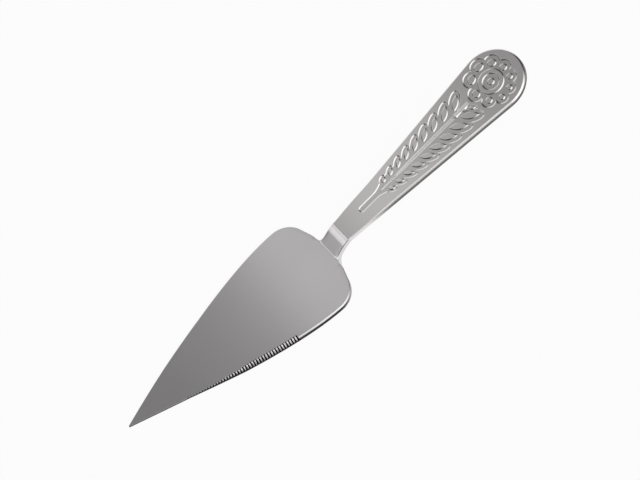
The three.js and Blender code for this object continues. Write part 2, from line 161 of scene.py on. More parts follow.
class LIFTER_PG_plate(bpy.types.PropertyGroup):
    """Sheet that both blanks are cut from."""
    thickness: length("Thickness", 2.9, "Thickness of the sheet")
    blade_bevel: length("Blade bevel", 0.62, "Width and depth of the bevel round the blade's top")
    handle_bevel: length("Handle bevel", 0.8, "Width and depth of the bevel round the handle's top")
    neck_bevel: length("Neck bevel", 0.2, "Width and depth of the bevel at the weld")
    bevel_start: length("Bevel start", 9, "Where the bevel begins to widen, from the weld")
    bevel_end: length("Bevel end", 28, "Where the bevel has its full width, from the weld")
    under_ease: length("Under ease", 0.3, "Rounding of the edges below")


class LIFTER_PG_neck(bpy.types.PropertyGroup):
    """Cranked neck between blade and handle, bend radii on the underside."""
    width: length("Width", 12.4, "Width of the neck")
    rise: length("Rise", 5.75, "Height of the joint's underside above the blade's")
    slope: angle("Slope", 19, "Slope of the neck at the weld")
    crank: angle("Crank", 33, "Slope of the riser")
    upper_bend: length("Upper bend", 11.0, "Radius of the bend below the handle")
    lower_bend: length("Lower bend", 4.1, "Radius of the bend into the blade")
    land: length("Land", 1.0, "Straight stock on each side of the weld")


class LIFTER_PG_blade(bpy.types.PropertyGroup):
    """Blade, from the start of the lower bend to its tip."""
    length: length("Length", 123.6, "From the lower bend to the tip")
    width: length("Width", 55.6, "Across the shoulders")
    thin_rear: length("Thinning rear", 58, "Where the edges begin to thin from below, back from the tip")
    thin_front: length("Thinning front", 30, "Where the edges are thinned in full, back from the tip")
    thin_lift: length("Thinning lift", 1.7, "How much of the thickness is ground away below the edges")
    thin_angle: angle("Thinning angle", 15, "Slope of the ground underside")
    # How much of the painted edge shade drops away where the edge is ground thin
    thin_shade_drop: share("Thin polish", 0.04, "How much lighter the cut edge is where it is thin")
    tip_half_angle: angle("Tip half angle", 19.8, "Between the axis and each edge at the tip")
    nose_radius: length("Nose radius", 0.3, "Rounding of the tip")
    tip_sweep: length("Tip sweep", 1.3, "How far the tip leans to the serrated edge")
    sweep_run: length("Sweep run", 30, "Length in which the lean fades to about a third")
    shoulder_radius: length("Shoulder radius", 12, "Rounding of the shoulders")
    rear_rake: angle("Rear rake", 17, "Lean of the rear edges towards the tip")
    rear_setback: length("Rear setback", 1.8, "How far up the lower bend the rear edges meet the neck")
    root_fillet: length("Root fillet", 5, "Rounding between neck and rear edge")
    serration_front: length("Serration front", 29, "First tooth, back from the tip")
    serration_full: length("Serration full", 62, "Where the teeth are full-grown, back from the tip")
    serration_rear: length("Serration rear", 86, "Last tooth, back from the tip")
    tooth_pitch: length("Tooth pitch", 1.45, "Distance between teeth")
    tooth_land: length("Tooth land", 0.66, "Uncut edge between two gullets")
    bevel_front: length("Front tooth bevel", 0.15, "Bevel of the top edge at the tip")
    bevel_rear: length("Rear tooth bevel", 1.4, "Bevel of the top edge between full-grown teeth")
    tooth_fade: length("Tooth fade", 1.0, "Run of the teeth's bevel into the plain one behind them")
    gullet_front: length("Front gullet", 0.25, "Depth of the first gullets in the top face")
    gullet_rear: length("Rear gullet", 2.2, "Depth of the full gullets in the top face")
    gullet_flat: share("Gullet flat", 0.6, "Width of a gullet's bottom for its mouth")


class LIFTER_PG_handle(bpy.types.PropertyGroup):
    """Handle, from the weld to the end of its round."""
    length: length("Length", 115.6, "From the weld to the round end")
    end_radius: length("End radius", 16.4, "Radius of the round end")
    slope: angle("Slope", 8.0, "Rise of the handle away from the blade")


class LIFTER_PG_weld(bpy.types.PropertyGroup):
    """Double V butt weld between neck and handle."""
    root_face: length("Root face", 0.7, "Flat of each plate that meets in the middle of the joint")
    half_angle: angle("Half angle", 35, "Slope of each side of the V")
    crown: length("Crown", 0.02, "Height that is left after grinding")
    ripple: length("Ripple", 0.7, "Distance between the ripples of the run")


class LIFTER_PG_fern(bpy.types.PropertyGroup):
    """Stamped fern on the handle, measured along the handle from the weld."""
    depth: length("Depth", 0.36, "Depth of the sunk ground")
    wall: length("Wall", 0.5, "Width of the sloped wall round the ground")
    low_wall: length("Low wall", 0.8, "Width of that wall on the side of the serrated edge")
    form_wall: length("Form wall", 0.5, "Width of the sloped sides of leaves and seeds")
    offset: length("Offset", -0.45, "Distance of the fern's stem from the handle's axis")
    stalk_start: length("Stalk start", 12.7, "Foot of the stalk")
    stalk_half_width: length("Stalk half width", 1.45, "Half width of the stalk's groove")
    flare_start: length("Flare start", 22.5, "Where the stalk begins to widen")
    flare_end: length("Flare end", 30.5, "Where the stalk is as wide as the first leaves")
    flare_half_width: length("Flare half width", 4.2, "Half width of the ground at the first leaves")
    crest_half_width: length("Crest half width", 7.0, "Half width of the ground at the last leaves")
    stem_start: length("Stem start", 26.5, "Point of the double rib")
    stem_spread: length("Stem spread", 20, "Length over which the two ribs part")
    stem_end: length("Stem end", 84.5, "End of the double rib")
    rib_spacing: length("Rib spacing", 1.15, "Distance between the two ribs of the stem")
    rib_half_width: length("Rib half width", 0.45, "Half width of each rib at its foot")
    rib_height: share("Rib height", 0.5, "Height of the ribs for the depth of the ground")
    pairs: count("Pairs", 9, "Leaf pairs")
    first_root: length("First root", 29.5, "Root of the first leaf pair")
    first_spacing: length("First spacing", 4.6, "Distance from the first pair to the second")
    spacing_growth: length("Spacing growth", 0.36, "Growth of that distance from pair to pair")
    root_offset: length("Root offset", 2.0, "Distance of the leaf roots from the stem")
    leaf_angle: angle("Leaf angle", 41, "Between leaf and stem")
    first_leaf: length("First leaf", 3.8, "Length of the first leaf")
    last_leaf: length("Last leaf", 10.2, "Length of the last leaf")
    far_share: share("Far leaves", 0.87, "Length of the far side's leaves for the others")
    end_root: length("End root", 82.3, "Root of the single small leaf at the stem's end")
    leaf_width: share("Leaf width", 0.38, "Width of a leaf for its length")
    least_width: length("Least width", 2.4, "Width of the smallest leaf")
    first_hollow: length("First hollow", 0.5, "How far the first leaf's hollow runs past its tip")
    last_hollow: length("Last hollow", 2.0, "How far the last leaf's hollow runs past its tip")
    hollow_root: length("Hollow before root", 1.3, "How far a leaf's hollow starts before its root")
    hollow_side: share("Hollow beside", 0.6, "Ground beside a leaf for the ground past its tip")
    hollow_shift: length("Hollow shift", 0.5, "How far a hollow lies outward of its leaf")


class LIFTER_PG_rosette(bpy.types.PropertyGroup):
    """Rosette in the handle's round end."""
    centre: length("Centre", 98.5, "Distance of the rosette's centre from the weld")
    petals: count("Petals", 9, "Petals round the eye")
    first_petal: angle("First petal", -11, "Direction of the first petal")
    crowding: angle("Crowding", 9, "How far the petals are drawn together on one side")
    lean: angle("Lean", 125, "Side that the petals are drawn to")
    petal_reach: length("Petal reach", 8.9, "From the centre to the petals' middles, along the handle")
    petal_spread: length("Petal spread", 10.3, "From the centre to the petals' middles, across it")
    swell: share("Swell", 0.13, "How much the largest petal exceeds the middle size")
    seed_swell: share("Seed swell", 0.3, "How much the widest seed exceeds the middle width")
    swell_lean: angle("Swell lean", -105, "Where the largest petals stand")
    petal_radius: length("Petal radius", 3.8, "Rounding of a petal's hollow")
    seed_length: length("Seed length", 3.8, "Length of a seed")
    seed_width: length("Seed width", 4.2, "Width of a seed")
    disc_radius: length("Disc radius", 6.7, "Radius of the raised disc")
    dish_radius: length("Dish radius", 4.4, "Radius of the dish in the disc")
    eye_radius: length("Eye radius", 1.9, "Radius of the boss in the dish")


class LIFTER_PG_steel(bpy.types.PropertyGroup):
    """Polished stainless steel."""
    blade_colour: colour("Blade colour", (0.71, 0.692, 0.70), "Polished face of the blade")
    handle_colour: colour("Handle colour", (0.76, 0.735, 0.735), "Polished face of the handle")
    # Darker colour that the wiping marks take on a little, and that the sunk ground takes on as painted
    # shade
    wipe_and_recess_shade_colour: colour("Ground colour", (0.66, 0.635, 0.63), "Sunk ground of the ornament")
    # Painted shade: near-black colour on the blade's edge walls and gullets, standing in for the dark
    # floor that they mirror
    blade_edge_shade: colour("Blade edge", (0.02, 0.019, 0.019), "Sheared edge and gullets of the blade")
    # Painted shade: dark colour on the handle's edge walls, standing in for the dark floor that they
    # mirror
    handle_edge_shade: colour("Handle edge", (0.15, 0.146, 0.147), "Sheared edge of the handle")
    weld_colour: colour("Weld colour", (0.70, 0.682, 0.685), "Ground weld")
    roughness: share("Roughness", 0.2, "Roughness of the polished face")
    ground_roughness: share("Ground roughness", 0.04, "How much rougher the sunk ground is")
    cut_roughness: share("Cut roughness", 0.22, "How much rougher the sheared edge is")
    grain: share("Grain", 0.05, "How much the polishing lines change the roughness")
    cloud: share("Cloud", 0.07, "How much wiping marks change the roughness")


class LIFTER_PG_studio(bpy.types.PropertyGroup):
    """Camera, floor and light."""
    aim: bpy.props.FloatVectorProperty(
        name="Aim", description="Point that the camera looks at", size=3,
        default=(0.09 * MM, -5.99 * MM, 5.0 * MM), precision=5, unit="LENGTH", subtype="TRANSLATION")
    distance: length("Distance", 1251.6, "From the camera to its aim")
    azimuth: angle("Azimuth", 80.64, "Direction from the aim to the camera, from +X towards +Y")
    elevation: angle("Elevation", 58.33, "Height of the camera above the horizon")
    roll: angle("Roll", -32.89, "Turn of the camera about its line of sight")
    lens: camera_length("Lens", 150.0, "Focal length")
    sensor: camera_length("Sensor", 36.0, "Width of the sensor")
    floor_colour: colour("Floor colour", (0.96, 0.96, 0.96), "Pale floor")
    floor_glow: share("Floor glow", 0.93, "Share of the floor's white that doesn't take shadow")
    world_level: share("World level", 0.06, "Brightness of the studio away from its lights")


class LIFTER_PG_settings(bpy.types.PropertyGroup):
    """All sizes and colours of the lifter and its studio."""
    plate: bpy.props.PointerProperty(type=LIFTER_PG_plate)
    neck: bpy.props.PointerProperty(type=LIFTER_PG_neck)
    blade: bpy.props.PointerProperty(type=LIFTER_PG_blade)
    handle: bpy.props.PointerProperty(type=LIFTER_PG_handle)
    weld: bpy.props.PointerProperty(type=LIFTER_PG_weld)
    fern: bpy.props.PointerProperty(type=LIFTER_PG_fern)
    rosette: bpy.props.PointerProperty(type=LIFTER_PG_rosette)
    steel: bpy.props.PointerProperty(type=LIFTER_PG_steel)
    studio: bpy.props.PointerProperty(type=LIFTER_PG_studio)


class Socket:
    """An output of a node, with Python arithmetic that adds Math nodes."""

    def __init__(self, shader, output):
        self.shader = shader
        self.output = output

    def maths(self, operation, first, second):
        """Adds a Math node."""
        return self.shader.node("ShaderNodeMath", {"operation": operation}, {0: first, 1: second})

    def __add__(self, other):
        return self.maths("ADD", self, other)

    def __radd__(self, other):
        return self.maths("ADD", other, self)

    def __sub__(self, other):
        return self.maths("SUBTRACT", self, other)

    def __rsub__(self, other):
        return self.maths("SUBTRACT", other, self)

    def __mul__(self, other):
        return self.maths("MULTIPLY", self, other)

    def __rmul__(self, other):
        return self.maths("MULTIPLY", other, self)


class Shader:
    """A node tree that is filled node by node."""

    def __init__(self, tree):
        self.tree = tree
        tree.nodes.clear()

    def node(self, kind, settings=None, inputs=None, output=0):
        """Adds a node, sets its settings, then its inputs, and returns one of its outputs."""
        made = self.tree.nodes.new(kind)
        for name, value in (settings or {}).items():
            if name == "stops":
                self.fill_ramp(made.color_ramp, value)
            else:
                setattr(made, name, value)
        for name, value in (inputs or {}).items():
            if isinstance(value, Socket):
                self.tree.links.new(value.output, made.inputs[name])
            else:
                made.inputs[name].default_value = value
        return Socket(self, made.outputs[output]) if made.outputs else None

    def fill_ramp(self, ramp, stops):
        """Gives a colour ramp its stops, each a place and a grey level."""
        ramp.interpolation = "EASE"
        while len(ramp.elements) < len(stops):
            ramp.elements.new(1.0)
        for element, (place, level) in zip(ramp.elements, stops):
            element.position = place
            element.color = (level, level, level, 1.0)

    def mix(self, factor, first, second):
        """Mixes two colours."""
        return self.node(
            "ShaderNodeMix", {"data_type": "RGBA"},
            {MIX_FACTOR: factor, MIX_FIRST: first, MIX_SECOND: second}, MIX_COLOUR)

    def ramped(self, value, low, high):
        """Takes a value from low to high smoothly to 0 to 1."""
        return self.node(
            "ShaderNodeMapRange", {"interpolation_type": "SMOOTHSTEP"},
            {"Value": value, "From Min": low, "From Max": high})

    def noise(self, coordinates, stretch, detail):
        """Noise over coordinates that are stretched along the three axes."""
        spread = self.node(
            "ShaderNodeVectorMath", {"operation": "MULTIPLY"}, {0: coordinates, 1: stretch})
        return self.node("ShaderNodeTexNoise", {}, {"Vector": spread, "Scale": 1.0, "Detail": detail})

    def surface(self, closure):
        """Ends the tree of a material with its surface."""
        self.node("ShaderNodeOutputMaterial", {}, {"Surface": closure})


def rgba(value):
    """A colour with full alpha."""
    return (*value, 1.0)


def empty_material(name):
    """A new material and its tree, to be filled."""
    material = bpy.data.materials.new(name)
    material.use_nodes = True
    return material, Shader(material.node_tree)


def steel_material(name, face_colour, edge_shade_colour, steel):
    """Polished steel: fine lengthwise lines, wiping marks, rougher ground and edges, and painted shade
    that darkens the sunk ground and the sheared edges and gullets.
    """
    material, shader = empty_material(name)
    place = shader.node("ShaderNodeTexCoord", output="Object")
    lines = shader.noise(place, LINE_WAVES, LINE_DETAIL)
    cloud = shader.noise(place, CLOUD_WAVES, CLOUD_DETAIL)
    ground = shader.node("ShaderNodeAttribute", {"attribute_name": RECESS}, output="Fac")
    cut = shader.node("ShaderNodeAttribute", {"attribute_name": EDGE_SHADE}, output="Fac")

    clouded = shader.mix(CLOUD_TONE * cloud, rgba(face_colour), rgba(steel.wipe_and_recess_shade_colour))
    # Painted shade: the sunk ground darkens with its depth
    toned = shader.mix(RECESS_SHADE * ground, clouded, rgba(steel.wipe_and_recess_shade_colour))
    # Painted shade: the sheared edges and gullets go nearly black where the edge value is full
    edge_shaded = shader.mix(cut, toned, rgba(edge_shade_colour))
    polish = steel.grain * (lines - NOISE_MIDDLE) + steel.cloud * (cloud - NOISE_MIDDLE)
    dull = steel.ground_roughness * ground + steel.cut_roughness * cut
    rough = steel.roughness + polish + dull
    bump = shader.node(
        "ShaderNodeBump", {}, {"Strength": LINE_BUMP, "Distance": LINE_DEPTH, "Height": lines})
    metal = shader.node("ShaderNodeBsdfPrincipled", {}, {
        "Base Color": edge_shaded, "Metallic": 1.0, "Roughness": rough, "Normal": bump})
    shader.surface(metal)
    return material


def ramp(low, high, value):
    """Straight slope of an array from 0 at low to 1 at high."""
    return np.clip((value - low) / (high - low), 0.0, 1.0)


def ease(low, high, value):
    """Smooth step of an array from 0 at low to 1 at high."""
    part = ramp(low, high, value)
    return part * part * (3.0 - 2.0 * part)


def blend(first, last, part):
    """Value that goes from first to last as part goes from 0 to 1."""
    return first + part * (last - first)


def line_run(start, end, step):
    """Points from start to end."""
    steps = max(1, math.ceil(np.linalg.norm(end - start) / step))
    return blend(start, end, np.linspace(0.0, 1.0, steps + 1)[:, None])


def arc_run(centre, radius, start, turn, step):
    """Points of an arc from an angle through a turn."""
    steps = max(LEAST_ARC_STEPS, math.ceil(radius * abs(turn) / step))
    angles = start + turn * np.linspace(0.0, 1.0, steps + 1)
    return np.asarray(centre) + radius * np.column_stack((np.cos(angles), np.sin(angles)))


def fillet_run(corner, inward, outward, radius, step):
    """Arc that rounds the corner between two directions of travel."""
    rise = inward[0] * outward[1] - inward[1] * outward[0]
    turn = math.atan2(rise, np.dot(inward, outward))
    side = math.copysign(1.0, turn)
    start = corner - inward * radius * math.tan(abs(turn) / 2)
    across = side * np.array((-inward[1], inward[0]))
    return arc_run(start + across * radius, radius, math.atan2(-across[1], -across[0]), turn, step)


def join_runs(runs):
    """One outline from runs in order, with straight lines in the gaps between them."""
    joined = [runs[0]]
    for run in runs[1:]:
        gap = line_run(joined[-1][-1], run[0], FINE_STEP)
        joined.append(gap[1:])
        joined.append(run[1:])
    return np.vstack(joined)


def outline_normals(half):
    """Outward normals of a half outline that starts square to the axis and ends on it."""
    before = np.diff(half, axis=0)
    before /= np.linalg.norm(before, axis=1)[:, None]
    along = np.vstack((before[:1], before[:-1] + before[1:], before[-1:]))
    along /= np.linalg.norm(along, axis=1)[:, None]
    normals = np.column_stack((-along[:, 1], along[:, 0]))
    normals[0] = (0.0, 1.0)
    normals[-1] = (1.0, 0.0)
    return normals


def bevel_steps():
    """Inset and drop of the bevelled edge, with eased corners, as shares of the bevel."""
    eased = CORNER_SHARE * math.tan(BEVEL_SLOPE / 2)
    turns = np.linspace(0.0, BEVEL_SLOPE, CORNER_STEPS + 1)
    upper = [
        (1 + eased - CORNER_SHARE * math.sin(turn), CORNER_SHARE * (1 - math.cos(turn)))
        for turn in turns]
    return upper + [(drop, inset) for inset, drop in reversed(upper)]


def ease_steps():
    """Inset and height of the rounded edge below as shares of its radius."""
    turns = np.linspace(0.0, math.pi / 2, CORNER_STEPS + 1)
    return [(1 - math.cos(turn), 1 - math.sin(turn)) for turn in turns]


def mitre(settings, height):
    """How far a plate's mitred end reaches at a height past where it ends below."""
    return height * math.tan((settings.neck.slope - settings.handle.slope) / 2)


def weld_slope(settings, height):
    """How far the V of the weld cuts a plate's end back at a height."""
    weld = settings.weld
    over = np.abs(height - settings.plate.thickness / 2) - weld.root_face / 2
    return np.maximum(over, 0.0) * math.tan(weld.half_angle)


def bevel_at(plate, full, s):
    """Bevel at distances from the weld: narrow at the neck, then full."""
    return blend(plate.neck_bevel, full, ease(plate.bevel_start, plate.bevel_end, s))


def both_sides(left, right):
    """Values of a half outline's left and right edges, in one run round the tip."""
    return np.concatenate((left, right[-2::-1]))


def build_plate(name, settings, half, notch, bevels, lift, place, columns, relief):
    """A plate with bevelled edges from a half outline that is mirrored across its axis.

    notch is how deep the left edge is cut at the top face, from where the cut slopes out to the
    underside's edge. bevels holds the bevels of the left and right top edge, and lift is how much is
    ground away below the edges. place puts points of the flat blank where they belong, and
    relief(s, y) is the height of the ornament on the top."""
    plate = settings.plate
    total = len(half)
    tip = total - 1
    normals = outline_normals(half)
    mirror = np.array((1.0, -1.0))
    chain = np.vstack((half, half[-2::-1] * mirror))
    facing = np.vstack((normals, normals[-2::-1] * mirror))
    reach = half[:, 1] / np.maximum(normals[:, 1], TINY)
    reach[tip] = reach[tip - 1]
    reach = both_sides(reach, reach)
    notch = both_sides(notch, np.zeros(total))
    bevel = np.minimum(both_sides(*bevels), MOST_INSET * reach)
    lift = both_sides(lift, lift)
    thinning = math.tan(settings.blade.thin_angle)
    # Painted edge shade eases off where the blade is ground thin below
    shade = 1 - settings.blade.thin_shade_drop * lift / settings.blade.thin_lift
    under_ease = np.minimum(plate.under_ease, MOST_INSET * reach)
    foot = np.clip(lift / thinning, FOOT_SHARE * under_ease, MOST_INSET * reach)
    around = len(chain)
    ends = [0, -1]

    # Rings of points round the edge, from the top face down to the flat underside
    rings = []
    edge_shades = []

    def add_ring(inset, height, dark):
        """Adds a ring that is cut in at the gullets and cut back at the weld."""
        cut_in = notch * height / plate.thickness
        inward = np.maximum(inset, cut_in)
        flat = chain - facing * inward[:, None]
        flat[ends, 0] += weld_slope(settings, height[ends]) - mitre(settings, height[ends])
        ground = (cut_in > inset) & (len(rings) > 0)
        rings.append(np.column_stack((flat, height)))
        # Painted shade: gullet walls take full dark, the rest of the ring its share of the edge shade
        edge_shades.append(np.where(ground, 1.0, dark * shade))

    for inset, drop in bevel_steps():
        add_ring(inset * bevel, plate.thickness - drop * bevel, ease(*SHADE_IN, drop))
    high = rings[-1][:, 2]
    low = lift + under_ease
    for way in (1, -1):
        root_height = plate.thickness / 2 + way * settings.weld.root_face / 2
        level = (root_height - low[0]) / (high[0] - low[0])
        add_ring(np.zeros(around), blend(low, high, level), 1.0)
    for inset, rise in ease_steps():
        thinned = np.maximum(lift - inset * under_ease * thinning, 0.0)
        add_ring(inset * under_ease, rise * under_ease + thinned, 1.0 - ease(*SHADE_OUT, inset))
    add_ring(foot, np.maximum(lift - foot * thinning, 0.0), 0.0)
    layers = len(rings)

    # Inner points of the top face, which carry the ornament
    rows = np.arange(tip)
    rim = np.minimum(max(notch.max() + RIM_LEAST, RIM_SHARE * bevel.max()), MOST_INSET * reach)
    base = chain - facing * rim[:, None]
    base[ends, 0] = rings[0][ends, 0]
    left = base[rows]
    right = base[around - 1 - rows]
    across = np.linspace(0.0, 1.0, columns - 1)
    inner = blend(left[:, None], right[:, None], across[None, :, None]).reshape(-1, 2)
    sunk = relief(inner[:, 0], inner[:, 1])
    inner = np.column_stack((inner, plate.thickness + sunk))

    # Faces of the top, the edge, the underside and the end at the weld
    grid = np.empty((tip, columns + 1), dtype=int)
    grid[:, 0] = rows
    grid[:, -1] = around - 1 - rows
    grid[:, 1:-1] = layers * around + np.arange(len(inner)).reshape(tip, columns - 1)

    faces = np.column_stack((
        grid[:-1, :-1].ravel(), grid[:-1, 1:].ravel(),
        grid[1:, 1:].ravel(), grid[1:, :-1].ravel())).tolist()
    faces += [(grid[-1, m], grid[-1, m + 1], tip) for m in range(columns)]
    step = np.arange(around - 1)
    for layer in range(layers - 1):
        upper = layer * around + step
        lower = upper + around
        faces += np.column_stack((upper, upper + 1, lower + 1, lower)).tolist()
    under = (layers - 1) * around
    low_left = under + rows
    low_right = under + around - 1 - rows
    faces += np.column_stack((low_left[:-1], low_left[1:], low_right[1:], low_right[:-1])).tolist()
    faces.append((low_left[-1], under + tip, low_right[-1]))
    for layer in range(layers - 1):
        upper = layer * around
        lower = upper + around
        top_row = grid[0, -2:0:-1].tolist() if layer == 0 else []
        faces.append([upper, lower, lower + around - 1, upper + around - 1, *top_row])

    points = np.vstack((*rings, inner))
    toned = np.concatenate((*edge_shades, np.zeros(len(inner))))
    values = {
        # Painted edge shade, faded out towards the weld
        EDGE_SHADE: toned * ease(plate.bevel_start, plate.bevel_end, points[:, 0]),
        # Depth of the sunk ground, which the steel turns into painted shade and roughness
        RECESS: np.concatenate((np.zeros(layers * around), ramp(0.0, settings.fern.depth, -sunk))),
    }
    return build_mesh(name, place(settings, *points.T), faces, values)


def build_mesh(name, points, faces, values):
    """A smooth mesh object with surface values on its points."""
    mesh = bpy.data.meshes.new(name)
    mesh.from_pydata(np.column_stack(points).tolist(), [], faces)
    for label, numbers in values.items():
        mesh.attributes.new(label, "FLOAT", "POINT").data.foreach_set("value", numbers)
    mesh.shade_smooth()
    mesh.set_sharp_from_angle(angle=SHARP_ANGLE)
    mesh.update()
    made = bpy.data.objects.new(name, mesh)
    bpy.context.scene.collection.objects.link(made)
    return made


def finish_piece(piece, node, material):
    """Dresses a piece and lets it stand for a CAD node."""
    piece.data.materials.append(material)
    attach(piece, BODY)
    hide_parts(node)


def crank_legs(settings):
    """Underside of the neck from the weld down to the blade, as lengths and turns."""
    neck = settings.neck
    bends_rise = (
        neck.land * math.sin(neck.slope)
        + neck.upper_bend * (math.cos(neck.slope) - math.cos(neck.crank))
        + neck.lower_bend * (1 - math.cos(neck.crank)))
    riser = (neck.rise - bends_rise) / math.sin(neck.crank)
    return [
        (neck.land, 0.0),
        (neck.upper_bend * (neck.crank - neck.slope), neck.slope - neck.crank),
        (riser, 0.0),
        (neck.lower_bend * neck.crank, neck.crank),
    ]


def crank_length(settings):
    """Length of the neck's underside from the weld to the blade."""
    return sum(leg for leg, turn in crank_legs(settings))


def from_tip(settings, s):
    """Distances back from the tip, for distances along the blade's blank from the weld."""
    return crank_length(settings) + settings.blade.length - s


def underside_at(settings, s):
    """Place and direction of the blade's underside at distances along its blank from the weld."""
    s = np.asarray(s, dtype=float)
    x = np.zeros_like(s)
    z = np.full_like(s, settings.neck.rise)
    heading = np.full_like(s, -settings.neck.slope)
    left = s.copy()
    for leg, turn in crank_legs(settings):
        walked = np.minimum(left, leg)
        turned = turn * np.maximum(walked, 0.0) / leg
        chord = walked * np.sinc(turned / math.tau)
        x += chord * np.cos(heading + turned / 2)
        z += chord * np.sin(heading + turned / 2)
        heading += turned
        left = left - walked
    return x + left * np.cos(heading), z + left * np.sin(heading), heading


def joint_x(settings):
    """Where the weld stands along X, from the tip that the frame gives."""
    reach = underside_at(settings, crank_length(settings) + settings.blade.length)[0]
    return BLADE_TIP - float(reach)


def blade_outline(settings):
    """Half outline of the blade's blank, with the first point and the count of its curved side."""
    blade = settings.blade
    neck = settings.neck
    crank = crank_length(settings)
    forward = np.array((1.0, 0.0))
    rear = np.array((math.sin(blade.rear_rake), math.cos(blade.rear_rake)))
    half_width = blade.width / 2
    half_neck = neck.width / 2
    rear_corner = np.array((crank - blade.rear_setback, half_neck))
    shoulder = rear_corner + rear * (half_width - half_neck) / rear[1]
    nose_x = crank + blade.length - blade.nose_radius
    nose_start = np.array((
        nose_x + blade.nose_radius * math.sin(blade.tip_half_angle),
        blade.nose_radius * math.cos(blade.tip_half_angle)))
    control = np.array((
        nose_start[0] - (half_width - nose_start[1]) / math.tan(blade.tip_half_angle), half_width))

    root = np.array(((0.0, half_neck), (neck.land, half_neck)))
    fillet = fillet_run(rear_corner, forward, rear, blade.root_fillet, FINE_STEP)
    shoulder_arc = fillet_run(shoulder, rear, forward, blade.shoulder_radius, FINE_STEP)
    side_start = shoulder_arc[-1]
    side_step = blade.tooth_pitch / STEPS_PER_TOOTH
    side_steps = math.ceil(np.linalg.norm(nose_start - side_start) / side_step)
    t = np.linspace(0.0, 1.0, side_steps + 1)[:, None]
    side = (1 - t) ** 2 * side_start + 2 * t * (1 - t) * control + t ** 2 * nose_start
    nose_turn = math.pi / 2 - blade.tip_half_angle
    nose = arc_run((nose_x, 0.0), blade.nose_radius, nose_turn, -nose_turn, FINE_STEP)
    nose[-1, 1] = 0.0
    half = join_runs([root, fillet, shoulder_arc])
    return np.vstack((half, side[1:], nose[1:])), len(half) - 1, len(side)


def serration_growth(blade, back):
    """Growth of the teeth at distances back from the tip, from 0 to 1 where they are full-grown."""
    return ramp(blade.serration_front, blade.serration_full, back) ** 2


def serration(settings, half, start, size):
    """Depth of the ground gullets at each point of the half outline."""
    blade = settings.blade
    side = half[start:start + size]
    along = np.concatenate(([0.0], np.cumsum(np.linalg.norm(np.diff(side, axis=0), axis=1))))
    tooth = np.round(along / blade.tooth_pitch)
    middle = from_tip(settings, np.interp(tooth * blade.tooth_pitch, along, side[:, 0]))
    depth = blend(blade.gullet_front, blade.gullet_rear, serration_growth(blade, middle))
    half_mouth = (blade.tooth_pitch - blade.tooth_land) / 2
    off = np.abs(along - tooth * blade.tooth_pitch) / half_mouth
    cut = np.clip((1 - off) / (1 - blade.gullet_flat), 0.0, 1.0)
    notch = np.zeros(len(half))
    toothed = (middle > blade.serration_front) & (middle < blade.serration_rear)
    notch[start:start + size] = np.where(toothed, depth * cut, 0.0)
    return notch


def blade_bevels(settings, half):
    """Bevels of the serrated and the plain top edge of the blade."""
    blade = settings.blade
    full = bevel_at(settings.plate, settings.plate.blade_bevel, half[:, 0])
    back = from_tip(settings, half[:, 0])
    toothed = 1 - ease(blade.serration_rear - blade.tooth_fade, blade.serration_rear, back)
    serrated = blend(blade.bevel_front, blade.bevel_rear, serration_growth(blade, back))
    thinned = blade_lift(settings, half) / blade.thin_lift
    return blend(full, serrated, toothed), blend(full, blade.bevel_front, thinned)


def blade_lift(settings, half):
    """How much is ground away below the blade's edges, so that the point slides under a slice."""
    blade = settings.blade
    back = from_tip(settings, half[:, 0])
    return blade.thin_lift * ramp(blade.thin_rear, blade.thin_front, back)


def place_on_blade(settings, s, y, h):
    """Puts points of the blade's flat blank where the cranked blade has them."""
    blade = settings.blade
    x, z, heading = underside_at(settings, s)
    sweep = blade.tip_sweep * np.exp(-from_tip(settings, s) / blade.sweep_run)
    return joint_x(settings) + x - h * np.sin(heading), y + sweep, z + h * np.cos(heading)


def place_on_handle(settings, s, y, h):
    """Puts points of the handle's blank, which runs from the weld towards -X."""
    slope = settings.handle.slope
    x = joint_x(settings) - s * math.cos(slope) + h * math.sin(slope)
    return x, -y, settings.neck.rise + s * math.sin(slope) + h * math.cos(slope)


class LIFTER_OT_blade(bpy.types.Operator):
    """Builds the pointed blade with its serrated edge and cranked neck"""
    bl_idname = "lifter.blade"
    bl_label = "Blade"

    def execute(self, context):
        settings = context.scene.lifter
        half, start, size = blade_outline(settings)
        notch = serration(settings, half, start, size)
        bevels = blade_bevels(settings, half)
        lift = blade_lift(settings, half)
        piece = build_plate(
            "blade_body", settings, half, notch, bevels, lift,
            place_on_blade, BLADE_COLUMNS, lambda s, y: np.zeros_like(s))
        steel = settings.steel
        material = steel_material("blade_steel", steel.blade_colour, steel.blade_edge_shade, steel)
        finish_piece(piece, "blade", material)
        return {"FINISHED"}


def turned_from(s, y, root, heading):
    """Distances along and across a heading from a root."""
    along = (s - root[0]) * math.cos(heading) + (y - root[1]) * math.sin(heading)
    off = (y - root[1]) * math.cos(heading) - (s - root[0]) * math.sin(heading)
    return along, off


def almond(s, y, root, heading, size, half_width):
    """Signed distance to a pointed leaf from its root along a heading."""
    along, off = turned_from(s, y, root, heading)
    bow = ((size / 2) ** 2 + half_width ** 2) / (2 * half_width)
    return np.hypot(along - size / 2, np.abs(off) + bow - half_width) - bow


def lobe(s, y, root, heading, size, half_width):
    """Signed distance, near the edge, to an oval from its root along a heading."""
    along, off = turned_from(s, y, root, heading)
    along = along - size / 2
    reach = np.hypot(along / (size / 2), off / half_width)
    slope = np.hypot(along / (size / 2) ** 2, off / half_width ** 2)
    return (reach - 1.0) * reach / np.maximum(slope, 1.0)


def fern_leaves(fern, scale):
    """Root, length, half width and hollow of the leaves on one side of the stem."""
    leaves = []
    root = fern.first_root
    for pair in range(fern.pairs):
        growth = math.sin(math.pi / 2 * pair / (fern.pairs - 1))
        size = scale * blend(fern.first_leaf, fern.last_leaf, growth)
        half_width = max(fern.least_width, fern.leaf_width * size) / 2
        hollow = scale * blend(fern.first_hollow, fern.last_hollow, growth)
        leaves.append((root, size, half_width, hollow))
        root += fern.first_spacing + pair * fern.spacing_growth
    return leaves


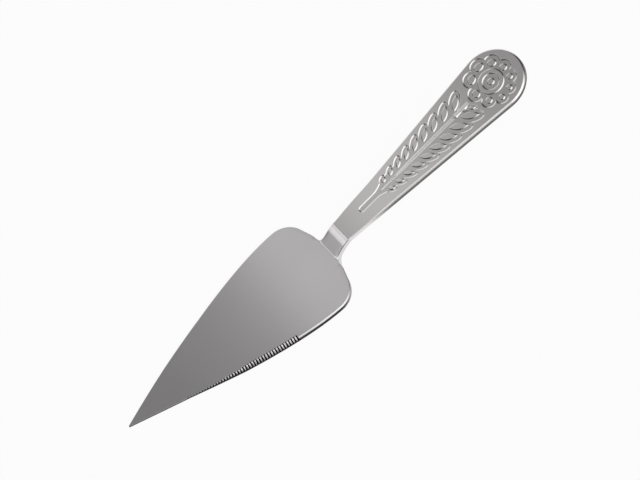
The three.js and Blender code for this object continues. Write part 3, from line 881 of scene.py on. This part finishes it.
def sunk_ground(fern, s, off):
    """Signed distance to the ground along the stem: round foot, stalk, flare and the leaves' part."""
    beside = np.abs(off)
    flare = ease(fern.flare_start, 2 * fern.flare_end - fern.flare_start, s)
    half_stalk = blend(fern.stalk_half_width, fern.flare_half_width, 2 * flare)
    crest = (s - fern.flare_end) / (fern.stem_end - fern.flare_end)
    half_leaves = blend(fern.flare_half_width, fern.crest_half_width, crest)
    foot = fern.stalk_start + fern.stalk_half_width
    round_foot = np.hypot(np.minimum(s - foot, 0.0), off) - fern.stalk_half_width
    last_root = fern_leaves(fern, 1.0)[-1][0]
    ahead_of_last = turned_from(s, beside, (last_root, fern.root_offset), fern.leaf_angle)[1]
    fronds = np.maximum(beside - half_leaves, -ahead_of_last)
    return np.where(s < foot, round_foot, np.where(s < fern.flare_end, beside - half_stalk, fronds))


def fern_relief(settings, s, y):
    """Edge distance of the fern's sunk ground, and the heights of its leaves and of its stem's ribs."""
    fern = settings.fern
    off = y - fern.offset
    beside = np.abs(off)
    ground = sunk_ground(fern, s, off)
    raised = np.zeros_like(s)
    along = np.array((math.cos(fern.leaf_angle), math.sin(fern.leaf_angle)))
    outward = np.array((-along[1], along[0]))
    end_leaf = (fern.end_root, fern.first_leaf, fern.least_width / 2, fern.first_hollow)
    near = [(off, leaf) for leaf in (*fern_leaves(fern, 1.0), end_leaf)]
    far = [(-off, leaf) for leaf in fern_leaves(fern, fern.far_share)]
    for across, (root, size, half_width, past_tip) in near + far:
        ahead = (root, fern.root_offset) - fern.hollow_root * along + fern.hollow_shift * outward
        hollow = lobe(
            s, across, ahead, fern.leaf_angle, size + fern.hollow_root + past_tip,
            half_width + fern.hollow_side * past_tip)
        ground = np.minimum(ground, hollow)
        leaf = almond(s, across, (root, fern.root_offset), fern.leaf_angle, size, half_width)
        raised = np.maximum(raised, ramp(0.0, fern.form_wall, -leaf))
    spacing = fern.rib_spacing * ease(fern.stem_start, fern.stem_start + fern.stem_spread, s)
    rib = np.abs(beside - spacing / 2)
    ribs = fern.rib_height * (1 - ease(0.0, fern.rib_half_width, rib))
    ribs *= ease(fern.stem_start - fern.rib_half_width, fern.stem_start, s)
    ribs *= ease(-fern.stem_end, -fern.stem_end + fern.rib_half_width, -s)
    return ground, raised, ribs


def rosette_relief(settings, s, y):
    """Edge distance of the rosette's sunk ground, and height of its forms above it."""
    rosette = settings.rosette
    wall = settings.fern.wall
    centre = rosette.centre
    away = np.hypot(s - centre, y)
    inside = np.hypot((s - centre) / rosette.petal_reach, y / rosette.petal_spread)
    ground = (inside - 1.0) * rosette.petal_reach
    raised = np.zeros_like(s)
    for petal in range(rosette.petals):
        even = rosette.first_petal + petal * math.tau / rosette.petals
        turn = even - rosette.crowding * math.cos(even - rosette.lean)
        x = rosette.petal_reach * math.cos(turn)
        across = rosette.petal_spread * math.sin(turn)
        heading = math.atan2(across, x)
        lean = math.cos(turn - rosette.swell_lean)
        swell = 1 + rosette.swell * lean
        seed_half_width = (1 + rosette.seed_swell * lean) * rosette.seed_width / 2
        ground = np.minimum(ground, np.hypot(s - centre - x, y - across) - swell * rosette.petal_radius)
        seed_length = swell * rosette.seed_length
        root = (
            centre + x - seed_length / 2 * math.cos(heading),
            across - seed_length / 2 * math.sin(heading))
        seed = lobe(s, y, root, heading, seed_length, seed_half_width)
        raised = np.maximum(raised, ramp(0.0, settings.fern.form_wall, -seed))
    disc = ramp(0.0, wall, rosette.disc_radius - away)
    dish = ramp(0.0, wall, rosette.dish_radius - away)
    eye = ramp(0.0, wall, rosette.eye_radius - away)
    return ground, np.maximum(raised, disc - dish + eye)


def ornament(settings, s, y):
    """Height of the stamped ornament against the handle's plain face."""
    fern = settings.fern
    fern_ground, fern_raised, ribs = fern_relief(settings, s, y)
    rose_ground, rose_raised = rosette_relief(settings, s, y)
    half_wall = blend(fern.wall, fern.low_wall, ease(-fern.low_wall, fern.low_wall, y)) / 2
    sunk = 1 - ramp(-half_wall, half_wall, np.minimum(fern_ground, rose_ground))
    raised = np.where(rose_ground < 0, rose_raised, fern_raised)
    return fern.depth * (ribs - sunk * (1 - raised))


def handle_outline(settings):
    """Half outline of the handle's blank: a straight taper, tangent to the round end."""
    handle = settings.handle
    start = np.array((settings.neck.land, settings.neck.width / 2))
    centre = np.array((handle.length - handle.end_radius, 0.0))
    back = start - centre
    tangent = math.atan2(back[1], back[0]) - math.acos(handle.end_radius / np.linalg.norm(back))
    root = np.array(((0.0, start[1]), start))
    end = arc_run(centre, handle.end_radius, tangent, -tangent, FINE_STEP)
    end[-1, 1] = 0.0
    return join_runs([root, end])


class LIFTER_OT_handle(bpy.types.Operator):
    """Builds the tapering handle with its round end and stamped ornament"""
    bl_idname = "lifter.handle"
    bl_label = "Handle"

    def execute(self, context):
        settings = context.scene.lifter
        half = handle_outline(settings)
        plain = np.zeros(len(half))
        bevel = bevel_at(settings.plate, settings.plate.handle_bevel, half[:, 0])
        piece = build_plate(
            "handle_body", settings, half, plain, (bevel, bevel), plain,
            place_on_handle, HANDLE_COLUMNS, lambda s, y: ornament(settings, s, -y))
        steel = settings.steel
        material = steel_material("handle_steel", steel.handle_colour, steel.handle_edge_shade, steel)
        finish_piece(piece, "handle", material)
        return {"FINISHED"}


def weld_section(settings):
    """Half widths of the neck's bevelled edge and their heights above the middle of the joint."""
    plate = settings.plate
    inset, drop = np.array(bevel_steps()).T * plate.neck_bevel
    half = settings.neck.width / 2
    rise = plate.thickness / 2 - drop
    return half - inset, rise


def build_weld(name, settings, way):
    """One run of the weld: a V across the neck, ground nearly flush with neck and handle."""
    plate = settings.plate
    weld = settings.weld
    middle = plate.thickness / 2
    half, rise = weld_section(settings)
    inner = np.linspace(1.0, -1.0, WELD_ROWS + 1)[1:-1] * half[0]
    y = np.concatenate((half[::-1], inner, -half))
    face = np.concatenate((rise[::-1], np.full(len(inner), middle), rise))
    half_mouth = np.maximum(face - weld.root_face / 2, 0.0) * math.tan(weld.half_angle)
    part = np.linspace(-1.0, 1.0, WELD_COLUMNS + 1)
    waves = np.cos(math.tau * (y[:, None] / weld.ripple + part[None, :] ** 2 / 2))
    ripple = blend(RIPPLE_MIDDLE, 1.0, waves)
    crown = weld.crown * (1 - part[None, :] ** 2) * ripple * (half_mouth / half_mouth.max())[:, None]
    root = np.full(len(y), weld.root_face / 2)
    height = middle + way * np.column_stack((face[:, None] + crown, root))
    back = np.column_stack((half_mouth[:, None] * np.abs(part)[None, :], np.zeros(len(y))))
    s = (back - mitre(settings, height)).ravel()
    height = height.ravel()
    sides = WELD_COLUMNS + 2
    across = np.repeat(y, sides)
    on_neck = np.tile(np.append(part, 0.0) > 0, len(y))
    neck_side = place_on_blade(settings, s, across, height)
    handle_side = place_on_handle(settings, s, -across, height)
    points = [np.where(on_neck, *pair) for pair in zip(neck_side, handle_side)]
    faces = []
    rows = len(y) - 1
    for row in range(rows):
        for corner in range(sides):
            a = row * sides + corner
            b = row * sides + (corner + 1) % sides
            quad = (a, a + sides, b + sides, b)
            faces.append(quad if way > 0 else quad[::-1])
    first = tuple(range(sides))
    last = tuple(rows * sides + corner for corner in range(sides))
    faces.append(first if way > 0 else first[::-1])
    faces.append(last[::-1] if way > 0 else last)
    return build_mesh(name, points, faces, {})


class LIFTER_OT_weld(bpy.types.Operator):
    """Builds the two weld runs that join neck and handle"""
    bl_idname = "lifter.weld"
    bl_label = "Weld"

    def execute(self, context):
        settings = context.scene.lifter
        steel = settings.steel
        material = steel_material("weld_steel", steel.weld_colour, steel.handle_edge_shade, steel)
        finish_piece(build_weld("weld_run_top", settings, 1), "weld_top", material)
        finish_piece(build_weld("weld_run_under", settings, -1), "weld_under", material)
        return {"FINISHED"}


# Clip distances of the camera, and the floor's half width and depth below the blade, in metres
CLIP_NEAR = 0.01
CLIP_FAR = 20.0
FLOOR_HALF_WIDTH = 4.0
FLOOR_DEPTH = 0.2 * MM


def direction(azimuth, elevation):
    """Unit vector from two angles."""
    level = math.cos(elevation)
    return Vector((level * math.cos(azimuth), level * math.sin(azimuth), math.sin(elevation)))


def add_camera(scene, studio):
    """Camera that looks down at the lifter across its serrated edge."""
    data = bpy.data.cameras.new("studio_camera")
    data.lens = studio.lens
    data.sensor_width = studio.sensor
    data.clip_start = CLIP_NEAR
    data.clip_end = CLIP_FAR
    camera = bpy.data.objects.new("studio_camera", data)
    back = direction(studio.azimuth, studio.elevation)
    camera.location = Vector(studio.aim) + back * studio.distance
    camera.rotation_mode = "QUATERNION"
    turn = Quaternion((0.0, 0.0, 1.0), studio.roll)
    camera.rotation_quaternion = (-back).to_track_quat("-Z", "Y") @ turn
    scene.collection.objects.link(camera)
    scene.camera = camera


def flat_sheet(name, low, high, z):
    """A plain stage sheet between two corners at a height."""
    corners = [
        (low[0], low[1], z), (high[0], low[1], z), (high[0], high[1], z), (low[0], high[1], z)]
    mesh = bpy.data.meshes.new(name)
    mesh.from_pydata(corners, [], [(0, 1, 2, 3)])
    sheet = bpy.data.objects.new(name, mesh)
    bpy.context.scene.collection.objects.link(sheet)
    return sheet


def add_floor(studio):
    """Pale floor that shows as white and keeps the lifter's shadow."""
    corner = (FLOOR_HALF_WIDTH, FLOOR_HALF_WIDTH)
    opposite = (-FLOOR_HALF_WIDTH, -FLOOR_HALF_WIDTH)
    floor = flat_sheet("studio_floor", opposite, corner, -FLOOR_DEPTH)
    material, shader = empty_material("floor_white")
    camera_ray = shader.node("ShaderNodeLightPath", output="Is Camera Ray")
    glossy_ray = shader.node("ShaderNodeLightPath", output="Is Glossy Ray")
    clear_ray = shader.node("ShaderNodeLightPath", output="Is Transmission Ray")
    seen = shader.node("ShaderNodeClamp", {}, {"Value": camera_ray + glossy_ray + clear_ray})
    matt = shader.node("ShaderNodeBsdfDiffuse", {}, {"Color": rgba(studio.floor_colour)})
    glow = shader.node("ShaderNodeEmission", {}, {"Color": WHITE, "Strength": 1.0})
    mixed = shader.node("ShaderNodeMixShader", {}, {0: seen * studio.floor_glow, 1: matt, 2: glow})
    shader.surface(mixed)
    floor.data.materials.append(material)


# Soft lights of the studio: azimuth, elevation, inner and outer spread in degrees, and brightness
SOFT_LIGHTS = (
    (120.0, 52.0, 20.0, 54.0, 1.4),
    (-40.0, 44.0, 7.0, 26.0, 1.0),
    (-95.0, 10.0, 12.0, 34.0, 1.0),
    (-90.0, 60.0, 6.0, 18.0, 0.2),
)


def add_world(scene, studio):
    """Dim studio with broad soft lights."""
    world = bpy.data.worlds.new("studio_world")
    world.use_nodes = True
    shader = Shader(world.node_tree)
    looking = shader.node("ShaderNodeTexCoord", output="Generated")
    level = studio.world_level
    for *degrees, brightness in SOFT_LIGHTS:
        azimuth, elevation, inner, outer = map(math.radians, degrees)
        facing = shader.node(
            "ShaderNodeVectorMath", {"operation": "DOT_PRODUCT"},
            {0: looking, 1: direction(azimuth, elevation)}, output="Value")
        level = shader.ramped(facing, math.cos(outer), math.cos(inner)) * brightness + level
    background = shader.node("ShaderNodeBackground", {}, {"Color": level, "Strength": 1.0})
    shader.node("ShaderNodeOutputWorld", {}, {"Surface": background})
    scene.world = world


# Reflector card above and behind the lifter, in metres, and its brightness at shares of its length
CARD_LOW = (-0.17, -0.28)
CARD_HIGH = (0.1, -0.04)
CARD_HEIGHT = 0.2
CARD_STOPS = (
    (0.0, 0.30), (0.304, 0.37), (0.489, 0.55), (0.618, 0.65),
    (0.649, 0.62), (0.772, 0.36), (0.896, 0.30), (0.99, 0.25))


def add_card():
    """Card that only the steel mirrors, brightest over the neck."""
    card = flat_sheet("studio_card", CARD_LOW, CARD_HIGH, CARD_HEIGHT)
    material, shader = empty_material("card_glow")
    place = shader.node("ShaderNodeTexCoord", output="Object")
    along = shader.node("ShaderNodeSeparateXYZ", {}, {0: place})
    part = shader.node(
        "ShaderNodeMapRange", {}, {"Value": along, "From Min": CARD_LOW[0], "From Max": CARD_HIGH[0]})
    level = shader.node("ShaderNodeValToRGB", {"stops": CARD_STOPS}, {0: part})
    glow = shader.node("ShaderNodeEmission", {}, {"Color": level, "Strength": 1.0})
    shader.surface(glow)
    card.data.materials.append(material)
    card.visible_camera = False
    card.visible_diffuse = False
    card.visible_shadow = False


class LIFTER_OT_studio(bpy.types.Operator):
    """Sets the camera, the pale floor and the soft light"""
    bl_idname = "lifter.studio"
    bl_label = "Studio"

    def execute(self, context):
        scene = context.scene
        studio = scene.lifter.studio
        scene.view_settings.view_transform = "Standard"
        add_camera(scene, studio)
        add_floor(studio)
        add_world(scene, studio)
        add_card()
        return {"FINISHED"}


class LIFTER_PT_panel(bpy.types.Panel):
    """Lists the lifter's pieces and its studio"""
    bl_idname = "LIFTER_PT_panel"
    bl_label = "Cake Lifter"
    bl_space_type = "VIEW_3D"
    bl_region_type = "UI"
    bl_category = "Lifter"

    def draw(self, context):
        settings = context.scene.lifter
        for operator in OPERATORS:
            self.layout.operator(operator.bl_idname)
        for group in LIFTER_PG_settings.__annotations__:
            part = getattr(settings, group)
            box = self.layout.box()
            box.label(text=group.capitalize())
            for name in part.__annotations__:
                box.prop(part, name)


GROUPS = (
    LIFTER_PG_plate, LIFTER_PG_neck, LIFTER_PG_blade, LIFTER_PG_handle, LIFTER_PG_weld, LIFTER_PG_fern,
    LIFTER_PG_rosette, LIFTER_PG_steel, LIFTER_PG_studio, LIFTER_PG_settings)
OPERATORS = (LIFTER_OT_blade, LIFTER_OT_handle, LIFTER_OT_weld, LIFTER_OT_studio)


def register():
    for made in (*GROUPS, *OPERATORS, LIFTER_PT_panel):
        bpy.utils.register_class(made)
    bpy.types.Scene.lifter = bpy.props.PointerProperty(type=LIFTER_PG_settings)


def unregister():
    del bpy.types.Scene.lifter
    for made in reversed((*GROUPS, *OPERATORS, LIFTER_PT_panel)):
        bpy.utils.unregister_class(made)


def main():
    register()
    bpy.ops.lifter.studio()
    bpy.ops.lifter.blade()
    bpy.ops.lifter.handle()
    bpy.ops.lifter.weld()


if __name__ == "__main__":
    main()
